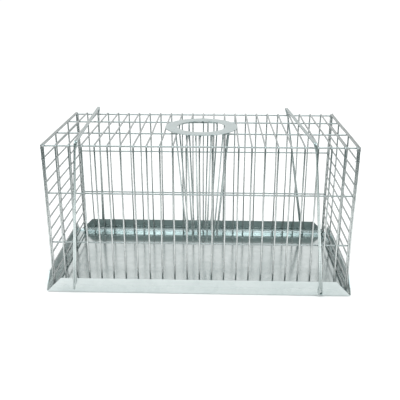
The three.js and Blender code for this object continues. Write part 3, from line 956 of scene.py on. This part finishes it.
class RATTRAP_OT_bails(Operator):
    """Build the two doubled wire bails that hold the cage down"""
    bl_idname = "rat_trap.bails"
    bl_label = "Bails"

    sides = 16
    loop_end_share = 0.2
    loop_top_share = 1.1

    def foot_loop(self, sizes, foot, side):
        """The second wire's end, bowed out and curled back under the foot."""
        bow = Vector((-side * sizes.loop_bow, 0, 0))
        low_foot = Vector((foot.x, foot.y, sizes.loop_z))
        rise = Vector((0, 0, sizes.loop_bow))
        return [
            low_foot - bow * self.loop_end_share, low_foot + bow, foot + bow * self.loop_top_share + rise]

    def bail(self, sizes, looped, side, foot_x, front_x, back_x):
        """One bail: a wire from hook to hook over the cage, and its return beside it."""
        pair = sizes.wire - sizes.pair_sink
        beside = Vector((-side * pair, 0, 0))
        main, returned = [], []
        for face, top_x in ((-1, front_x), (1, back_x)):
            foot = Vector((foot_x, face * sizes.leg_y, sizes.foot_z))
            top = Vector((top_x, face * sizes.leg_y, sizes.top_z))
            upwards = (top - foot).normalized()
            inwards = Vector((0, -face * pair, 0))
            low = foot + upwards * (sizes.foot_bend + sizes.wire)
            main.append([Vector((foot_x, face * sizes.hook_y, sizes.foot_z)), foot, top])
            returned.append([
                low, low + upwards * sizes.return_rise + beside,
                top - upwards * sizes.twist_drop + inwards, top + inwards + beside])
        main_radii = [sizes.foot_bend, sizes.bend_radius]
        main_radii += main_radii[::-1]
        radii = [sizes.return_rise, sizes.bend_radius, sizes.foot_bend]
        radii += radii[::-1]
        if looped:
            returned[0][:1] = self.foot_loop(sizes, main[0][1], side)
            radii = [sizes.loop_bend, sizes.return_rise] + radii
        return [
            bent_wire(main[0] + main[1][::-1], main_radii, sizes.wire, self.sides),
            bent_wire(returned[0] + returned[1][::-1], radii, sizes.wire, self.sides)]

    def execute(self, context):
        sizes = context.scene.rat_trap_bails
        places = {
            "left": (-1, sizes.left_foot_x, sizes.left_front_x, sizes.left_back_x),
            "right": (1, sizes.right_foot_x, sizes.right_front_x, sizes.right_back_x),
        }
        for name, place in places.items():
            whole = bmesh.new()
            gather(whole, self.bail(sizes, name == "right", *place))
            finished(
                f"{name}_doubled_bail", whole, bright_wire_finish(), f"{name}_bail_body",
                [f"{name}_bail"])
        return {"FINISHED"}


# The studio

WHITE = (1, 1, 1, 1)


class RATTRAP_OT_studio(Operator):
    """Set up the floor, the light and the camera"""
    bl_idname = "rat_trap.studio"
    bl_label = "Studio"

    floor_size = 80
    floor_drop = 0.2 * MM
    aim_height = 0.1
    # The cards are painted reflections: they glow, light nothing and show only in mirroring metal. The dark
    # cards paint dark reflections into the wires and walls.
    # The size and the place of each card, in metres, and how brightly it glows
    dark_cards = {
        "front_floor_card": ((3.2, 1.0), (0, -0.95, 0.001)),
        "back_floor_card": ((3.2, 0.9), (0, 1.05, 0.001)),
        "left_floor_card": ((0.9, 1.15), (-1.1, 0.02, 0.001)),
        "right_floor_card": ((0.9, 1.15), (1.1, 0.02, 0.001)),
    }
    front_card = ((3.2, 0.95), (0, -1.44, 0.475))
    # Painted highlights and reflections: bright glowing cards that light nothing. The reflector brightens
    # the front wall's reflection, the overhead card brightens the folds and the strip brightens the tops of
    # the wires.
    front_reflection_glow = ((1.3, 0.24), (0, -0.3, 0.0015), 2.2)
    overhead_card = ((4.0, 2.4), (0, 0.1, 2.4), 1.15)
    overhead_highlight_strip = ((3.0, 0.5), (0, -0.6, 1.3), 2.9)
    # The size and the place of each softbox, in metres, and its power in watts
    softboxes = {
        "key_softbox": ((2.0, 0.35), (0, -0.25, 1.5), 5.5),
        "fill_softbox": ((0.3, 0.9), (1.4, -0.5, 0.9), 1.2),
    }

    def seen_ray(self, tree):
        """1 for the rays that show the background: from the camera, off metal and through glass."""
        rays = add_node(tree, "ShaderNodeLightPath").outputs
        first = add_node(
            tree, "ShaderNodeMath", {0: rays["Is Camera Ray"], 1: rays["Is Glossy Ray"]},
            operation="MAXIMUM")
        return add_node(
            tree, "ShaderNodeMath", {0: first.outputs["Value"], 1: rays["Is Transmission Ray"]},
            operation="MAXIMUM").outputs["Value"]

    def world(self, context, studio):
        """A white world for the rays that show it, and an even fill for the rest."""
        world = bpy.data.worlds.new("white_studio")
        context.scene.world = world
        tree = emptied(world)
        fill, shown = [
            add_node(tree, "ShaderNodeBackground", {"Color": WHITE, "Strength": strength})
            for strength in (studio.world_fill, 1)]
        mixed = add_node(tree, "ShaderNodeMixShader", {
            0: self.seen_ray(tree), 1: fill.outputs["Background"], 2: shown.outputs["Background"]})
        add_node(tree, "ShaderNodeOutputWorld", {"Surface": mixed.outputs["Shader"]})

    def floor_material(self, studio):
        """Matt white paper. A part of its white glows, so that the shadow on it stays light."""
        material = bpy.data.materials.new("matt_white_paper")
        tree = emptied(material)
        white = linear_colour(studio.floor)
        lit = add_node(tree, "ShaderNodeBsdfDiffuse", {"Color": white}).outputs["BSDF"]
        glow = add_node(tree, "ShaderNodeEmission", {"Color": white, "Strength": studio.floor_glow})
        glowing = add_node(tree, "ShaderNodeAddShader", {0: lit, 1: glow.outputs["Emission"]})
        mixed = add_node(
            tree, "ShaderNodeMixShader", {0: self.seen_ray(tree), 1: lit, 2: glowing.outputs["Shader"]})
        add_node(tree, "ShaderNodeOutputMaterial", {"Surface": mixed.outputs["Shader"]})
        return material

    def sheet_object(self, name, size, place, material, turn=Matrix.Identity(4)):
        """A flat rectangle that belongs to the stage."""
        bm = bmesh.new()
        bmesh.ops.create_grid(bm, x_segments=1, y_segments=1, size=1)
        bmesh.ops.scale(bm, vec=(size[0] / 2, size[1] / 2, 1), verts=bm.verts)
        bmesh.ops.transform(bm, matrix=Matrix.Translation(place) @ turn, verts=bm.verts)
        mesh = mesh_of(name, bm)
        mesh.materials.append(material)
        item = placed(name, mesh)
        return item

    def card(self, name, hex_code, size, place, glow=1, **turned):
        """A glowing card of one tone that only mirroring metal sees. It lights nothing and casts no shadow,
        so it is a painted reflection in the metal, dark or bright by its colour and glow.
        """
        material = bpy.data.materials.new(f"matt_{name}")
        tree = emptied(material)
        # Painted reflection: the card glows instead of being lit, and only glossy rays see it.
        emitting = add_node(tree, "ShaderNodeEmission", {"Color": linear_colour(hex_code), "Strength": glow})
        add_node(tree, "ShaderNodeOutputMaterial", {"Surface": emitting.outputs["Emission"]})
        item = self.sheet_object(name, size, place, material, **turned)
        for ray in ("camera", "diffuse", "shadow", "transmission"):
            setattr(item, f"visible_{ray}", False)

    def softbox(self, name, size, place, power):
        """A soft area light that faces the trap."""
        light = bpy.data.lights.new(name, "AREA")
        light.shape = "RECTANGLE"
        light.size, light.size_y = size
        light.energy = power
        item = placed(name, light)
        item.location = place
        aim = Vector((0, 0, self.aim_height)) - item.location
        item.rotation_euler = aim.to_track_quat("-Z", "Y").to_euler()

    def camera(self, context, studio):
        """A camera at the photograph's angle."""
        camera = bpy.data.cameras.new("camera")
        camera.lens = studio.lens
        item = placed("camera", camera)
        item.location = studio.camera_place
        item.rotation_euler = studio.camera_turn
        context.scene.camera = item

    def execute(self, context):
        studio = context.scene.rat_trap_studio
        context.scene.view_settings.view_transform = "Standard"
        self.world(context, studio)
        self.sheet_object(
            "floor", (self.floor_size, self.floor_size), (0, 0, -self.floor_drop),
            self.floor_material(studio))
        # Painted dark reflections: dark glowing cards round the trap that only the metal sees.
        for name, card in self.dark_cards.items():
            self.card(name, studio.card, *card)
        upright = Matrix.Rotation(math.pi / 2, 4, "X")
        self.card("front_card", studio.card, *self.front_card, turn=upright)
        # Painted highlights: bright glowing cards in front and above that only the metal sees.
        self.card("front_reflection_glow", studio.reflector, *self.front_reflection_glow)
        self.card("overhead_card", studio.overhead, *self.overhead_card)
        self.card("overhead_highlight_strip", studio.overhead, *self.overhead_highlight_strip)
        for name, softbox in self.softboxes.items():
            self.softbox(name, *softbox)
        self.camera(context, studio)
        return {"FINISHED"}


STEPS = (
    RATTRAP_OT_tray, RATTRAP_OT_bent_mesh, RATTRAP_OT_end_panels, RATTRAP_OT_entrance_ring,
    RATTRAP_OT_funnel, RATTRAP_OT_clips, RATTRAP_OT_bails, RATTRAP_OT_studio,
)


class RATTRAP_PT_sidebar(Panel):
    """The sidebar panel that lists the pieces"""
    bl_idname = "RATTRAP_PT_sidebar"
    bl_label = "Rat Cage Trap"
    bl_space_type = "VIEW_3D"
    bl_region_type = "UI"
    bl_category = "Rat Trap"

    def draw(self, context):
        for step in STEPS:
            self.layout.operator(step.bl_idname)


GROUPS = {
    "rat_trap_mesh": MeshSizes,
    "rat_trap_tray": TraySizes,
    "rat_trap_entrance": EntranceSizes,
    "rat_trap_bails": BailSizes,
    "rat_trap_clips": ClipSizes,
    "rat_trap_finish": FinishColours,
    "rat_trap_studio": StudioSettings,
}


def register():
    """Makes the settings, the operators and the panel known to Blender."""
    for name, group in GROUPS.items():
        bpy.utils.register_class(group)
        setattr(bpy.types.Scene, name, PointerProperty(type=group))
    for step in (*STEPS, RATTRAP_PT_sidebar):
        bpy.utils.register_class(step)


def unregister():
    """Takes everything out of Blender again."""
    for step in (RATTRAP_PT_sidebar, *reversed(STEPS)):
        bpy.utils.unregister_class(step)
    for name, group in GROUPS.items():
        delattr(bpy.types.Scene, name)
        bpy.utils.unregister_class(group)


def main():
    """Builds the trap step by step."""
    register()
    for step in STEPS:
        getattr(bpy.ops.rat_trap, step.bl_idname.split(".")[1])()
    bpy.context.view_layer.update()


if __name__ == "__main__":
    main()
